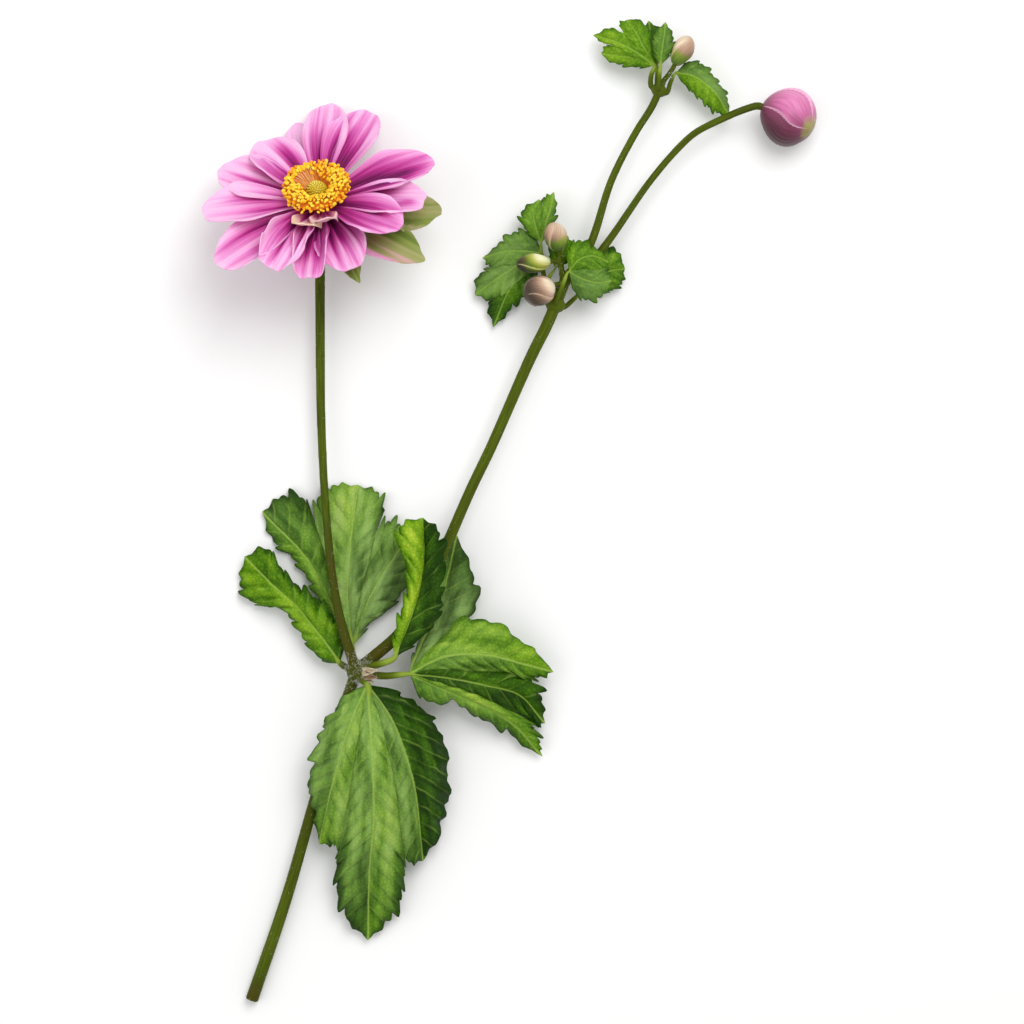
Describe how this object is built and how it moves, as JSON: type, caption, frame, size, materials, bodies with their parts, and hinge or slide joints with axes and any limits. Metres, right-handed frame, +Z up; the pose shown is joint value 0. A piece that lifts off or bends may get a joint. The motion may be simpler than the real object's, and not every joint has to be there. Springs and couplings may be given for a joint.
{
  "type": "japanese anemone flower",
  "caption": "Picked stem of a pink Japanese anemone, lying flat: an open flower with a ring of golden stamens, lobed toothed leaves and a branch of closed buds.",
  "frame": {"origin": "middle of the bounding box in X and Y, on the surface that the flower lies on", "axes": "+Z up from that surface, +Y from the cut end of the stem towards the open flower, +X from the flower towards the branch of buds"},
  "size_m": [0.1815, 0.2946, 0.0409],
  "materials": {
    "pink_petal": "soft, satin",
    "green_petal": "soft, satin",
    "stamen": "powdery, matte",
    "pistil": "matte, beaded",
    "stem": "finely hairy, satin",
    "leaf": "veined, satin",
    "bract": "veined, satin",
    "pink_bud": "silky, satin",
    "silky_bud": "downy, matte",
    "green_bud": "downy, matte"
  },
  "bodies": {
    "root": {"pink_petals": "pink_petal", "green_outer_petals": "green_petal", "stamens": "stamen", "pistil": "pistil", "stem": "stem", "front_leaf": "leaf", "right_leaf": "leaf", "upright_leaf": "leaf", "left_leaf": "leaf", "rear_leaf": "leaf", "lower_bracts": "bract", "upper_bracts": "bract", "pink_bud": "pink_bud", "large_bud": "silky_bud", "tan_bud": "silky_bud", "green_bud": "green_bud", "top_bud": "silky_bud"}
  },
  "joints": []
}
